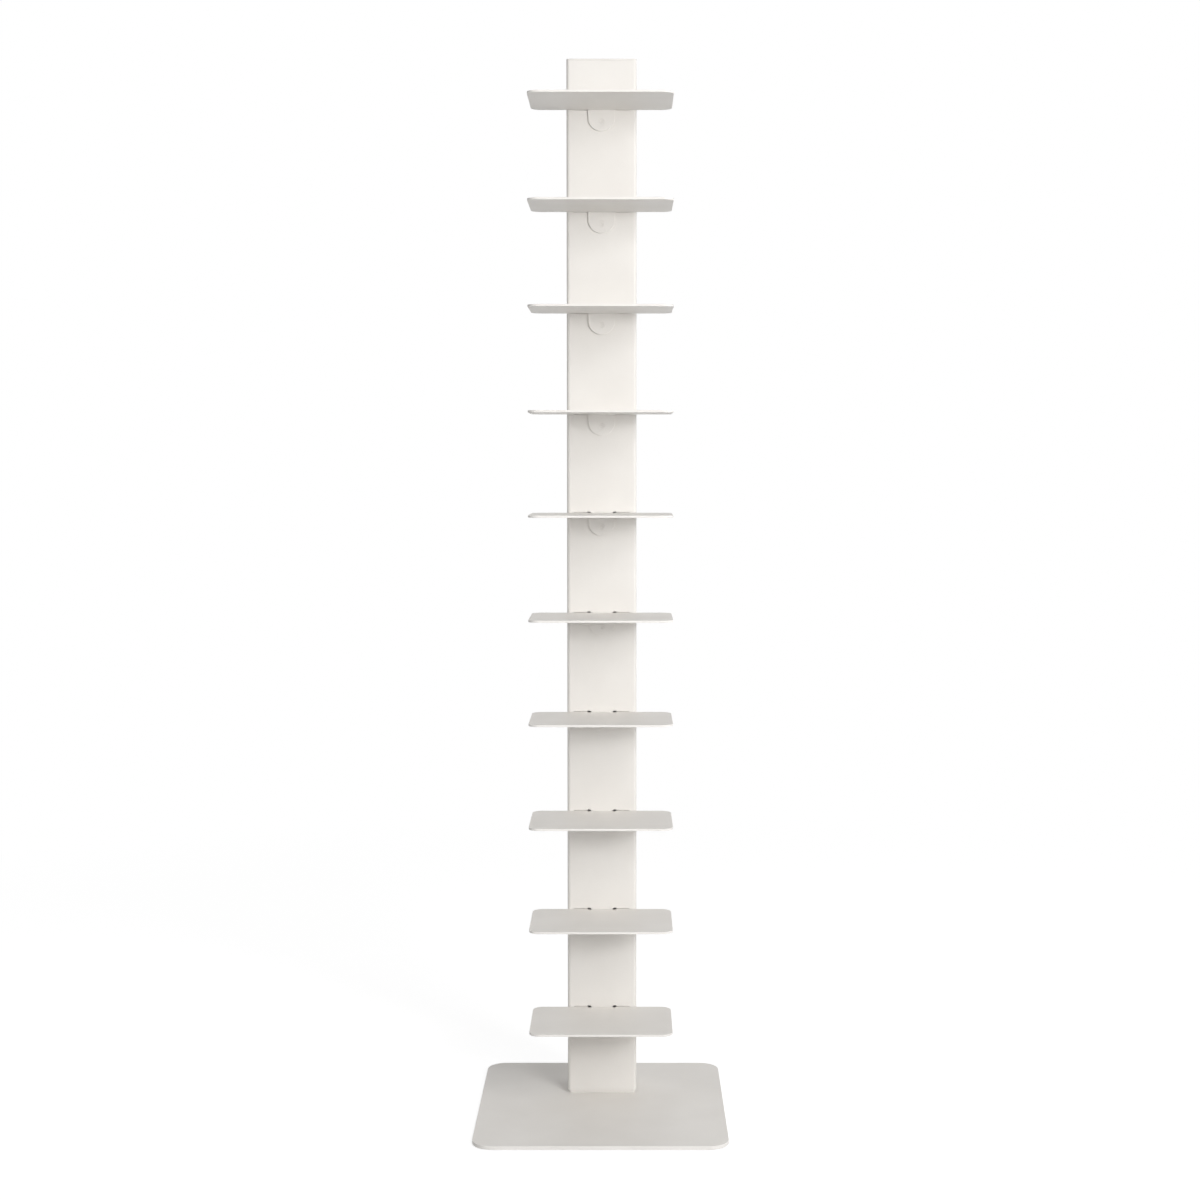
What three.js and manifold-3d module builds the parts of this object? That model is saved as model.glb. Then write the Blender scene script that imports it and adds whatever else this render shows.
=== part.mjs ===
// Spine bookshelf: ten sheet-steel shelves hooked and screwed to the front of one tubular column,
// which stands on a square steel base plate. Millimetres, +Z up, the front faces -Y, and the origin
// is on the floor below the middle of the base plate.

import * as THREE from 'three';
import { mergeVertices } from 'three/addons/utils/BufferGeometryUtils.js';
import Module from 'manifold-3d';

// Base plate and its floor pads
const BASE_WIDTH = 350;
const BASE_DEPTH = 350;
const BASE_THICKNESS = 5;
const BASE_CORNER_RADIUS = 28;
const PAD_DIAMETER = 26;
const PAD_THICKNESS = 1.5;
const PAD_INSET = 36;

// Column tube, its foot plate and its cap
const COLUMN_WIDTH = 100;
const COLUMN_DEPTH = 60;
const COLUMN_WALL = 2;
const COLUMN_CORNER_RADIUS = 5;
const COLUMN_REAR_MARGIN = 77.5;
const COLUMN_RISE_ABOVE_TOP_SHELF = 66.5;
const FOOT_THICKNESS = 4;
const FOOT_INSET = 2;
const CAP_THICKNESS = 3;
const CAP_RIM_DEPTH = 14;
const CAP_RIM_WALL = 3;

// Shelves, each one bent sheet
const SHELF_COUNT = 10;
const SHELF_PITCH = 144;
const LOWEST_SHELF_TOP = 134.5;
const SHELF_WIDTH = 200;
const SHELF_DEPTH = 134;
const SHEET_THICKNESS = 3;
const SHELF_CORNER_RADIUS = 15;
const BEND_RADIUS = 1.5;
const TAB_WIDTH = 38;
const TAB_DROP = 33;
const TAB_HOLE_DROP = 19.5;
const RELIEF_WIDTH = 0.6;
const RELIEF_RUN_PAST_BEND = 0.5;
const TONGUE_SET_OUT = 1.4;
const HOOK_RISE = 14;

// Slots in the column for the shelf hooks
const SLOT_EDGE_LAND = 5;
const SLOT_OUTER_CLEARANCE = 1;
const SLOT_INNER_RUN = 5.5;
const SLOT_GAP_ABOVE = 0.9;
const SLOT_NOTCH_GAP_ABOVE = 1.6;
const SLOT_CORNER_RADIUS = 1;

// Shelf screws and the threaded inserts behind the column face
const SCREW_DIAMETER = 4;
const SCREW_HEAD_DIAMETER = 7;
const SCREW_HEAD_RIM = 0.25;
const SCREW_HEAD_RECESS = 0.5;
const SCREW_TIP_REACH = 1;
const SCREW_SOCKET_ACROSS_FLATS = 2.5;
const SCREW_SOCKET_DEPTH = 1.2;
const INSERT_DIAMETER = 9;
const INSERT_LENGTH = 5;
const INSERT_PILOT_DIAMETER = 6.5;

// Bolts that hold the column's foot plate down from beneath the base plate
const BOLT_DIAMETER = 6;
const BOLT_HEAD_DIAMETER = 11;
const BOLT_HEAD_RIM = 0.4;
const BOLT_HEAD_RECESS = 0.4;
const BOLT_TIP_SETBACK = 0.5;
const BOLT_SOCKET_ACROSS_FLATS = 4;
const BOLT_SOCKET_DEPTH = 1.8;
const BOLT_INSET = 14;

// Fits and the fineness of round forms
const CLEARANCE = 0.3;
const CUT_OVERRUN = 1;
const JOIN_OVERLAP = 2;
const CORNER_SEGMENTS = 4;
const SLOT_SEGMENTS = 3;
const HOLE_SEGMENTS = 6;
const TAB_SEGMENTS = 8;
const BEND_SEGMENTS = 3;
const TURNED_SEGMENTS = 16;
const HEX_SIDES = 6;

// Heights and places that follow from the sizes above
const BASE_TOP = PAD_THICKNESS + BASE_THICKNESS;
const FOOT_TOP = BASE_TOP + FOOT_THICKNESS;
const TOP_SHELF_TOP = LOWEST_SHELF_TOP + (SHELF_COUNT - 1) * SHELF_PITCH;
const COLUMN_TOP = TOP_SHELF_TOP + COLUMN_RISE_ABOVE_TOP_SHELF;
const COLUMN_BACK_Y = BASE_DEPTH / 2 - COLUMN_REAR_MARGIN;
const COLUMN_FACE_Y = COLUMN_BACK_Y - COLUMN_DEPTH;
const COLUMN_CENTRE_Y = (COLUMN_FACE_Y + COLUMN_BACK_Y) / 2;
const COLUMN_INNER_RADIUS = Math.max(COLUMN_CORNER_RADIUS - COLUMN_WALL, CLEARANCE);
const BEND_REACH = SHEET_THICKNESS + BEND_RADIUS;
const TAB_HALF = TAB_WIDTH / 2;
const RELIEF_OUTER_X = TAB_HALF + RELIEF_WIDTH;
const TONGUE_INNER_X = RELIEF_OUTER_X + TONGUE_SET_OUT;
const SLOT_OUTER_X = COLUMN_WIDTH / 2 - COLUMN_CORNER_RADIUS - SLOT_EDGE_LAND;
const SLOT_INNER_X = TONGUE_INNER_X - SLOT_INNER_RUN;
const TONGUE_OUTER_X = SLOT_OUTER_X - SLOT_OUTER_CLEARANCE;
const SCREW_HOLE_RADIUS = SCREW_DIAMETER / 2 + CLEARANCE;
const BOLT_HOLE_RADIUS = BOLT_DIAMETER / 2 + CLEARANCE;

const wasm = await Module();
wasm.setup();

// Merges the shared vertices of a geometry and drops the faces that fold to a line.
function closedGeometry(geometry) {
  const bare = new THREE.BufferGeometry();
  bare.setAttribute('position', geometry.getAttribute('position').clone());
  if (geometry.index) bare.setIndex(geometry.index.clone());
  const merged = mergeVertices(bare);
  const old = merged.index.array;
  const kept = [];
  for (let i = 0; i < old.length; i += 3) {
    const [a, b, c] = [old[i], old[i + 1], old[i + 2]];
    if (a !== b && b !== c && c !== a) kept.push(a, b, c);
  }
  merged.setIndex(kept);
  return merged;
}

function solidOf(geometry) {
  const closed = closedGeometry(geometry);
  const vertProperties = new Float32Array(closed.getAttribute('position').array);
  const triVerts = new Uint32Array(closed.index.array);
  return new wasm.Manifold(new wasm.Mesh({ numProp: 3, vertProperties, triVerts }));
}

function geometryOf(solid) {
  const mesh = solid.getMesh();
  const geometry = new THREE.BufferGeometry();
  geometry.setAttribute('position', new THREE.BufferAttribute(new Float32Array(mesh.vertProperties), 3));
  geometry.setIndex(new THREE.BufferAttribute(new Uint32Array(mesh.triVerts), 1));
  geometry.computeVertexNormals();
  return geometry;
}

function extruded(shape, depth, segments = CORNER_SEGMENTS) {
  return new THREE.ExtrudeGeometry(shape, { depth, bevelEnabled: false, curveSegments: segments, steps: 1 });
}

// Stands an outline drawn as (x, z) up in the XZ plane, so that it was extruded towards -Y from y = 0.
function facingFront(geometry) {
  const basis = new THREE.Matrix4().makeBasis(
    new THREE.Vector3(1, 0, 0), new THREE.Vector3(0, 0, 1), new THREE.Vector3(0, -1, 0));
  return geometry.applyMatrix4(basis);
}

// Turns a profile drawn as (y, z) and extruded upwards into one that is extruded along +X from x = 0.
function alongWidth(geometry) {
  const basis = new THREE.Matrix4().makeBasis(
    new THREE.Vector3(0, 1, 0), new THREE.Vector3(0, 0, 1), new THREE.Vector3(1, 0, 0));
  return geometry.applyMatrix4(basis);
}

// Rectangle with rounded corners, centred on (cx, cy).
function roundedRectangle(path, width, depth, radius, cx = 0, cy = 0) {
  const x = width / 2;
  const y = depth / 2;
  path.moveTo(cx - x + radius, cy - y);
  path.lineTo(cx + x - radius, cy - y);
  path.absarc(cx + x - radius, cy - y + radius, radius, -Math.PI / 2, 0, false);
  path.lineTo(cx + x, cy + y - radius);
  path.absarc(cx + x - radius, cy + y - radius, radius, 0, Math.PI / 2, false);
  path.lineTo(cx - x + radius, cy + y);
  path.absarc(cx - x + radius, cy + y - radius, radius, Math.PI / 2, Math.PI, false);
  path.lineTo(cx - x, cy - y + radius);
  path.absarc(cx - x + radius, cy - y + radius, radius, Math.PI, 1.5 * Math.PI, false);
  return path;
}

// A turned solid about the Z axis; the profile's points are (radius, height), from the lower end up.
function turned(points) {
  const profile = points.map(([radius, height]) => new THREE.Vector2(radius, height));
  return new THREE.LatheGeometry(profile, TURNED_SEGMENTS).rotateX(Math.PI / 2);
}

// Hexagonal prism about the Z axis, from z = 0 up.
function hexPrism(acrossFlats, height) {
  const cornerRadius = acrossFlats / 2 / Math.cos(Math.PI / HEX_SIDES);
  const prism = new THREE.CylinderGeometry(cornerRadius, cornerRadius, height, HEX_SIDES);
  return prism.rotateX(Math.PI / 2).translate(0, 0, height / 2);
}

// Countersunk fastener about the Z axis with its head's flat at z = 0 and its tip at z = -length.
function countersunkFastener(diameter, headDiameter, headRim, length, socketAcrossFlats, socketDepth) {
  const shankRadius = diameter / 2;
  const headRadius = headDiameter / 2;
  const coneDepth = headRadius - shankRadius;
  const body = solidOf(turned([
    [0, -length],
    [shankRadius, -length],
    [shankRadius, -headRim - coneDepth],
    [headRadius, -headRim],
    [headRadius, 0],
    [0, 0],
  ]));
  const socket = solidOf(hexPrism(socketAcrossFlats, socketDepth + CUT_OVERRUN).translate(0, 0, -socketDepth));
  return geometryOf(body.subtract(socket));
}

// Cutter for a countersunk hole about the Z axis: its mouth is at z = 0 and it runs down past z = -depth.
function countersinkCutter(shankRadius, headDiameter, headRim, recess, depth) {
  const mouthRadius = headDiameter / 2 + CLEARANCE;
  const coneTop = -recess - headRim;
  return solidOf(turned([
    [0, -depth - CUT_OVERRUN],
    [shankRadius, -depth - CUT_OVERRUN],
    [shankRadius, coneTop - (mouthRadius - shankRadius)],
    [mouthRadius, coneTop],
    [mouthRadius, CUT_OVERRUN],
    [0, CUT_OVERRUN],
  ]));
}

function makeBasePlate() {
  const outline = roundedRectangle(new THREE.Shape(), BASE_WIDTH, BASE_DEPTH, BASE_CORNER_RADIUS);
  let plate = solidOf(extruded(outline, BASE_THICKNESS).translate(0, 0, PAD_THICKNESS));
  for (const [x, y] of boltPlaces()) {
    const cutter = countersinkCutter(
      BOLT_HOLE_RADIUS, BOLT_HEAD_DIAMETER, BOLT_HEAD_RIM, BOLT_HEAD_RECESS, BASE_THICKNESS);
    plate = plate.subtract(cutter.rotate([180, 0, 0]).translate([x, y, PAD_THICKNESS]));
  }
  return geometryOf(plate);
}

function padPlaces() {
  const x = BASE_WIDTH / 2 - PAD_INSET;
  const y = BASE_DEPTH / 2 - PAD_INSET;
  return [[-x, -y], [x, -y], [x, y], [-x, y]];
}

function boltPlaces() {
  const x = COLUMN_WIDTH / 2 - BOLT_INSET;
  const y = COLUMN_DEPTH / 2 - BOLT_INSET;
  return [[-x, -y], [x, -y], [x, y], [-x, y]].map(([bx, by]) => [bx, COLUMN_CENTRE_Y + by]);
}

function makeFloorPad() {
  const radius = PAD_DIAMETER / 2;
  return new THREE.CylinderGeometry(radius, radius, PAD_THICKNESS, TURNED_SEGMENTS)
    .rotateX(Math.PI / 2).translate(0, 0, PAD_THICKNESS / 2);
}

function makeFootPlate() {
  const outline = roundedRectangle(
    new THREE.Shape(), COLUMN_WIDTH - 2 * FOOT_INSET, COLUMN_DEPTH - 2 * FOOT_INSET,
    Math.max(COLUMN_CORNER_RADIUS - FOOT_INSET, CLEARANCE), 0, COLUMN_CENTRE_Y);
  for (const [x, y] of boltPlaces()) {
    outline.holes.push(new THREE.Path().absarc(x, y, BOLT_HOLE_RADIUS, 0, 2 * Math.PI, true));
  }
  return extruded(outline, FOOT_THICKNESS, HOLE_SEGMENTS).translate(0, 0, BASE_TOP);
}

function shelfTops() {
  return Array.from({ length: SHELF_COUNT }, (_, i) => TOP_SHELF_TOP - i * SHELF_PITCH);
}

// Outline of the right-hand hook slot, as (x, z) from the middle of the shelf's top face. It is low over the
// tongue, and its inner end is a taller, half-round notch beside the tongue.
function slotOutline() {
  const bottom = -SHEET_THICKNESS - CLEARANCE;
  const cornerX = SLOT_OUTER_X - SLOT_CORNER_RADIUS;
  const notchRadius = (SLOT_NOTCH_GAP_ABOVE - bottom) / 2;
  const notchX = SLOT_INNER_X + notchRadius;
  const shape = new THREE.Shape();
  shape.moveTo(notchX, bottom);
  shape.lineTo(cornerX, bottom);
  shape.absarc(cornerX, bottom + SLOT_CORNER_RADIUS, SLOT_CORNER_RADIUS, -Math.PI / 2, 0, false);
  shape.lineTo(SLOT_OUTER_X, SLOT_GAP_ABOVE - SLOT_CORNER_RADIUS);
  shape.absarc(cornerX, SLOT_GAP_ABOVE - SLOT_CORNER_RADIUS, SLOT_CORNER_RADIUS, 0, Math.PI / 2, false);
  shape.lineTo(TONGUE_INNER_X, SLOT_GAP_ABOVE);
  shape.lineTo(TONGUE_INNER_X, SLOT_NOTCH_GAP_ABOVE);
  shape.lineTo(notchX, SLOT_NOTCH_GAP_ABOVE);
  shape.absarc(notchX, bottom + notchRadius, notchRadius, Math.PI / 2, 1.5 * Math.PI, false);
  return shape;
}

// Rectangular tube with a pair of hook slots and one insert hole in its front wall for each shelf.
function makeColumn() {
  const outline = roundedRectangle(
    new THREE.Shape(), COLUMN_WIDTH, COLUMN_DEPTH, COLUMN_CORNER_RADIUS, 0, COLUMN_CENTRE_Y);
  outline.holes.push(roundedRectangle(
    new THREE.Path(), COLUMN_WIDTH - 2 * COLUMN_WALL, COLUMN_DEPTH - 2 * COLUMN_WALL,
    COLUMN_INNER_RADIUS, 0, COLUMN_CENTRE_Y));
  let tube = solidOf(extruded(outline, COLUMN_TOP - FOOT_TOP).translate(0, 0, FOOT_TOP));

  const cutDepth = COLUMN_WALL + 2 * CUT_OVERRUN;
  const rightSlot = solidOf(facingFront(extruded(slotOutline(), cutDepth, SLOT_SEGMENTS)));
  const leftSlot = rightSlot.mirror([1, 0, 0]);
  const holeShape = new THREE.Shape().absarc(0, 0, INSERT_PILOT_DIAMETER / 2 + CLEARANCE, 0, 2 * Math.PI, false);
  const hole = solidOf(facingFront(extruded(holeShape, cutDepth, HOLE_SEGMENTS)));
  const cutBackY = COLUMN_FACE_Y + COLUMN_WALL + CUT_OVERRUN;
  const cutters = [];
  for (const top of shelfTops()) {
    cutters.push(leftSlot.translate([0, cutBackY, top]));
    cutters.push(rightSlot.translate([0, cutBackY, top]));
    cutters.push(hole.translate([0, cutBackY, top - TAB_HOLE_DROP]));
  }
  for (const cutter of cutters) tube = tube.subtract(cutter);
  return geometryOf(tube);
}

// Flat lid on the tube's end with a rim that plugs into it, open from below.
function makeTopCap() {
  const lidShape = roundedRectangle(
    new THREE.Shape(), COLUMN_WIDTH, COLUMN_DEPTH, COLUMN_CORNER_RADIUS, 0, COLUMN_CENTRE_Y);
  const lid = solidOf(extruded(lidShape, CAP_THICKNESS));
  const rimWidth = COLUMN_WIDTH - 2 * (COLUMN_WALL + CLEARANCE);
  const rimDepth = COLUMN_DEPTH - 2 * (COLUMN_WALL + CLEARANCE);
  const rimShape = roundedRectangle(
    new THREE.Shape(), rimWidth, rimDepth, COLUMN_INNER_RADIUS, 0, COLUMN_CENTRE_Y);
  rimShape.holes.push(roundedRectangle(
    new THREE.Path(), rimWidth - 2 * CAP_RIM_WALL, rimDepth - 2 * CAP_RIM_WALL,
    COLUMN_INNER_RADIUS / 2, 0, COLUMN_CENTRE_Y));
  const joinDepth = CAP_THICKNESS / 2;
  const rim = solidOf(extruded(rimShape, CAP_RIM_DEPTH + joinDepth).translate(0, 0, -CAP_RIM_DEPTH));
  return geometryOf(lid.add(rim)).translate(0, 0, COLUMN_TOP);
}

// Flat sheet of a shelf: its rear edge is at y = 0, its top at z = 0, and a tab's width is left out behind
// the bend line, with a relief slit on either side of it.
function shelfSheet() {
  const x = SHELF_WIDTH / 2;
  const r = SHELF_CORNER_RADIUS;
  const slitEnd = -BEND_REACH - RELIEF_RUN_PAST_BEND;
  const shape = new THREE.Shape();
  shape.moveTo(-x + r, -SHELF_DEPTH);
  shape.lineTo(x - r, -SHELF_DEPTH);
  shape.absarc(x - r, -SHELF_DEPTH + r, r, -Math.PI / 2, 0, false);
  shape.lineTo(x, -r);
  shape.absarc(x - r, -r, r, 0, Math.PI / 2, false);
  shape.lineTo(RELIEF_OUTER_X, 0);
  shape.lineTo(RELIEF_OUTER_X, slitEnd);
  shape.lineTo(TAB_HALF, slitEnd);
  shape.lineTo(TAB_HALF, -BEND_REACH);
  shape.lineTo(-TAB_HALF, -BEND_REACH);
  shape.lineTo(-TAB_HALF, slitEnd);
  shape.lineTo(-RELIEF_OUTER_X, slitEnd);
  shape.lineTo(-RELIEF_OUTER_X, 0);
  shape.lineTo(-x + r, 0);
  shape.absarc(-x + r, -r, r, Math.PI / 2, Math.PI, false);
  shape.lineTo(-x, -SHELF_DEPTH + r);
  shape.absarc(-x + r, -SHELF_DEPTH + r, r, Math.PI, 1.5 * Math.PI, false);
  return solidOf(extruded(shape, SHEET_THICKNESS).translate(0, 0, -SHEET_THICKNESS));
}

// Tongue that runs back through the column's slot and turns up behind its wall.
function shelfHook() {
  const t = SHEET_THICKNESS;
  const flangeFrontY = COLUMN_WALL + CLEARANCE;
  const bendY = flangeFrontY - BEND_RADIUS;
  const profile = new THREE.Shape();
  profile.moveTo(-JOIN_OVERLAP, -t);
  profile.lineTo(bendY, -t);
  profile.absarc(bendY, BEND_RADIUS, BEND_REACH, -Math.PI / 2, 0, false);
  profile.lineTo(flangeFrontY + t, HOOK_RISE);
  profile.lineTo(flangeFrontY, HOOK_RISE);
  profile.lineTo(flangeFrontY, BEND_RADIUS);
  profile.absarc(bendY, BEND_RADIUS, BEND_RADIUS, 0, -Math.PI / 2, true);
  profile.lineTo(-JOIN_OVERLAP, 0);
  return alongWidth(extruded(profile, TONGUE_OUTER_X - TONGUE_INNER_X, BEND_SEGMENTS));
}

// Tab that bends down flat against the column's front, round at its lower end, with a countersunk hole.
function shelfTab() {
  const t = SHEET_THICKNESS;
  const profile = new THREE.Shape();
  profile.moveTo(-BEND_REACH - JOIN_OVERLAP, -t);
  profile.lineTo(-BEND_REACH, -t);
  profile.absarc(-BEND_REACH, -BEND_REACH, BEND_RADIUS, Math.PI / 2, 0, true);
  profile.lineTo(-t, -TAB_DROP);
  profile.lineTo(0, -TAB_DROP);
  profile.lineTo(0, -BEND_REACH);
  profile.absarc(-BEND_REACH, -BEND_REACH, BEND_REACH, 0, Math.PI / 2, false);
  profile.lineTo(-BEND_REACH - JOIN_OVERLAP, 0);
  const strip = solidOf(alongWidth(extruded(profile, TAB_WIDTH, BEND_SEGMENTS)).translate(-TAB_HALF, 0, 0));

  const roundZ = TAB_HALF - TAB_DROP;
  const front = new THREE.Shape();
  front.moveTo(TAB_HALF + CUT_OVERRUN, CUT_OVERRUN);
  front.lineTo(-TAB_HALF - CUT_OVERRUN, CUT_OVERRUN);
  front.lineTo(-TAB_HALF - CUT_OVERRUN, roundZ);
  front.lineTo(-TAB_HALF, roundZ);
  front.absarc(0, roundZ, TAB_HALF, Math.PI, 2 * Math.PI, false);
  front.lineTo(TAB_HALF + CUT_OVERRUN, roundZ);
  const reach = BEND_REACH + JOIN_OVERLAP + 2 * CUT_OVERRUN;
  const outline = solidOf(facingFront(extruded(front, reach, TAB_SEGMENTS)).translate(0, CUT_OVERRUN, 0));

  const countersink = countersinkCutter(
    SCREW_HOLE_RADIUS, SCREW_HEAD_DIAMETER, SCREW_HEAD_RIM, SCREW_HEAD_RECESS, t);
  const hole = countersink.rotate([90, 0, 0]).translate([0, -t, -TAB_HOLE_DROP]);
  return strip.intersect(outline).subtract(hole);
}

// One shelf with its rear edge at y = 0 and its top surface at z = 0.
function makeShelf() {
  const rightHook = solidOf(shelfHook().translate(TONGUE_INNER_X, 0, 0));
  const leftHook = solidOf(shelfHook().translate(-TONGUE_OUTER_X, 0, 0));
  return geometryOf(shelfSheet().add(shelfTab()).add(rightHook).add(leftHook));
}

// Screw that points back through the tab, with its head's flat at y = 0.
function makeShelfScrew() {
  const grip = SHEET_THICKNESS - SCREW_HEAD_RECESS + COLUMN_WALL + INSERT_LENGTH + SCREW_TIP_REACH;
  return countersunkFastener(
    SCREW_DIAMETER, SCREW_HEAD_DIAMETER, SCREW_HEAD_RIM, grip,
    SCREW_SOCKET_ACROSS_FLATS, SCREW_SOCKET_DEPTH).rotateX(Math.PI / 2);
}

// Threaded insert: a pilot in the wall's hole and a body behind the wall. The wall's inner face is at y = 0.
function makeScrewInsert() {
  const bore = SCREW_DIAMETER / 2 + CLEARANCE;
  const pilot = INSERT_PILOT_DIAMETER / 2;
  const body = INSERT_DIAMETER / 2;
  const pilotLength = COLUMN_WALL - CLEARANCE;
  return turned([
    [bore, -INSERT_LENGTH],
    [body, -INSERT_LENGTH],
    [body, 0],
    [pilot, 0],
    [pilot, pilotLength],
    [bore, pilotLength],
    [bore, -INSERT_LENGTH],
  ]).rotateX(Math.PI / 2);
}

// Bolt that points up through the base plate, with its head's flat at z = 0.
function makeBaseBolt() {
  const length = BASE_THICKNESS - BOLT_HEAD_RECESS + FOOT_THICKNESS - BOLT_TIP_SETBACK;
  return countersunkFastener(
    BOLT_DIAMETER, BOLT_HEAD_DIAMETER, BOLT_HEAD_RIM, length,
    BOLT_SOCKET_ACROSS_FLATS, BOLT_SOCKET_DEPTH).rotateX(Math.PI);
}

const bookshelf = new THREE.Group();

const powderCoat = () => new THREE.MeshStandardMaterial({ color: '#dbd8d2', roughness: 0.55, metalness: 0 });
const capPlastic = () => new THREE.MeshStandardMaterial({ color: '#d9d6d0', roughness: 0.6, metalness: 0 });
const zincPlate = () => new THREE.MeshStandardMaterial({ color: '#a9adb0', roughness: 0.35, metalness: 0.9 });
const padRubber = () => new THREE.MeshStandardMaterial({ color: '#d0cdc8', roughness: 0.9, metalness: 0 });

function place(name, geometry, material, x = 0, y = 0, z = 0) {
  const mesh = new THREE.Mesh(closedGeometry(geometry), material);
  mesh.name = name;
  mesh.position.set(x, y, z);
  bookshelf.add(mesh);
}

const twoDigits = (index) => String(index + 1).padStart(2, '0');

place('base_plate', makeBasePlate(), powderCoat());
padPlaces().forEach(([x, y], i) => place(`floor_pad_${twoDigits(i)}`, makeFloorPad(), padRubber(), x, y));
place('column_foot_plate', makeFootPlate(), powderCoat());
boltPlaces().forEach(([x, y], i) => {
  place(`base_bolt_${twoDigits(i)}`, makeBaseBolt(), zincPlate(), x, y, PAD_THICKNESS + BOLT_HEAD_RECESS);
});
place('column', makeColumn(), powderCoat());
place('top_cap', makeTopCap(), capPlastic());
shelfTops().forEach((top, i) => {
  const screwZ = top - TAB_HOLE_DROP;
  const screwY = COLUMN_FACE_Y - SHEET_THICKNESS + SCREW_HEAD_RECESS;
  place(`shelf_${twoDigits(i)}`, makeShelf(), powderCoat(), 0, COLUMN_FACE_Y, top);
  place(`shelf_screw_${twoDigits(i)}`, makeShelfScrew(), powderCoat(), 0, screwY, screwZ);
  place(`screw_insert_${twoDigits(i)}`, makeScrewInsert(), zincPlate(), 0, COLUMN_FACE_Y + COLUMN_WALL, screwZ);
});

export default bookshelf;
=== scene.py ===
"""Spine bookshelf: the looks of its coated plate, tube and shelves, its cap, its fasteners and its pads.

Every piece is one closed shell worked out with numpy. A strip is a profile carried along a closed way, and
a flat face is filled between the strips' rims. Each corner of a face carries its own normal, so flat faces
stay flat and eased edges look round. Lengths are metres, +Z is up, the front faces -Y, and the origin is on
the floor below the middle of the base plate.
"""

from __future__ import annotations

import logging
import math
from collections.abc import Sequence
from dataclasses import dataclass, field
from enum import Enum

import bpy
import numpy as np
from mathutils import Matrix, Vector
from mathutils.geometry import delaunay_2d_cdt

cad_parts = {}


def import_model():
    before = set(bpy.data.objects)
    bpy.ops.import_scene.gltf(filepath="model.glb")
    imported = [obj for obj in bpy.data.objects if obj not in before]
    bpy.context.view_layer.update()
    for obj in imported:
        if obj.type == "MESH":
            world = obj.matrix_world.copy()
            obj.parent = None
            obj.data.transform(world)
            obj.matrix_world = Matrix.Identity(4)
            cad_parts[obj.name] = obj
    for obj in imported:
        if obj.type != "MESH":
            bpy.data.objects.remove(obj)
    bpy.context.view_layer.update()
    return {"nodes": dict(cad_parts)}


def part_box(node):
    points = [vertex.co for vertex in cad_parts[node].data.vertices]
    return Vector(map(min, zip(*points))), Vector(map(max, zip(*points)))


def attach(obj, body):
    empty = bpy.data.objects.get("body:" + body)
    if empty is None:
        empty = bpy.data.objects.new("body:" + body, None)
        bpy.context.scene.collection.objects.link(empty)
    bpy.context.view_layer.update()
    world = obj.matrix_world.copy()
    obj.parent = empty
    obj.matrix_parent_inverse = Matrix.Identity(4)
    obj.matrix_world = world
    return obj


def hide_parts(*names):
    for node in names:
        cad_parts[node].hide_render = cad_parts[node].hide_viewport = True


LOG = logging.getLogger("spine_bookshelf")

MM = 0.001
BODY = "root"

# How finely round stretches are divided
EASE_STEPS = 4
CORNER_STEPS = 14
SLOT_CORNER_STEPS = 5
SLOT_END_STEPS = 16
BEND_STEPS = 12
ROUND_STEPS = 64
SMALL_ROUND_STEPS = 32
HEX_SIDES = 6

# How shells are made: a lead is the stretch of flat face that gives a profile's end its slope
QUARTER = math.pi / 2.0
SMOOTH_LIMIT = math.radians(35.0)
LEAD = 20.0 * MM
FILL_TOLERANCE = 1e-6
# Mesh attribute that marks eased edge faces, which the coat polishes and paints lighter as a painted
# highlight
EDGE_ATTRIBUTE = "edge_polish_and_painted_highlight"
EDGE_LENGTH_LIMIT = 1.5

# Drop of the shelf screws below the shelves' top faces, and the number of bolts and of pads
SCREW_DROP = 19.5 * MM
CORNERS = 4

# Shader values: the middle range that noise mostly fills, the whole range, no stretch, and white
NOISE_RANGE = (0.3, 0.7)
UNIT_RANGE = (0.0, 1.0)
EVEN = (1.0, 1.0, 1.0)
WHITE = (1.0, 1.0, 1.0)

# Directions in the shared frame
RIGHT = (1.0, 0.0, 0.0)
REAR = (0.0, 1.0, 0.0)
FRONT = (0.0, -1.0, 0.0)
UP = (0.0, 0.0, 1.0)

# Turns right into left, or out into in, in a plane
MIRROR = (-1.0, 1.0)

# Points that the lamps are turned to
MIDDLE = (0.0, 0.0, 0.8)
ABOVE_MIDDLE = (0.0, 0.0, 0.85)
BELOW_MIDDLE = (0.0, 0.0, 0.75)

# Pieces that the lamp behind lights
BACK_LIT = ("column_coated", "top_cap_moulded")

Colour = tuple[float, float, float]
Place = tuple[float, float, float]
Feed = float | tuple[float, ...] | bpy.types.NodeSocket


class Slot(Enum):
    """The record's material slots."""

    POWDER_COAT = "powder_coat"
    CAP_PLASTIC = "cap_plastic"
    ZINC_PLATE = "zinc_plate"
    PAD_RUBBER = "pad_rubber"


NAME_ENDINGS = {
    Slot.POWDER_COAT: "coated",
    Slot.CAP_PLASTIC: "moulded",
    Slot.ZINC_PLATE: "zinc",
    Slot.PAD_RUBBER: "rubber",
}


class Facing(Enum):
    """The side of a plane that a flat face looks to."""

    OUT = 1.0
    BACK = -1.0


@dataclass(frozen=True)
class Box:
    """The box of a CAD node, by its low and high corners."""

    low: Vector
    high: Vector

    @classmethod
    def of(cls, node: str) -> Box:
        """The box that the frame gives for a node."""
        return cls(*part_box(node))

    @property
    def middle(self) -> Vector:
        """Its middle."""
        return (self.low + self.high) / 2.0

    @property
    def size(self) -> Vector:
        """Its width, depth and height."""
        return self.high - self.low


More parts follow.
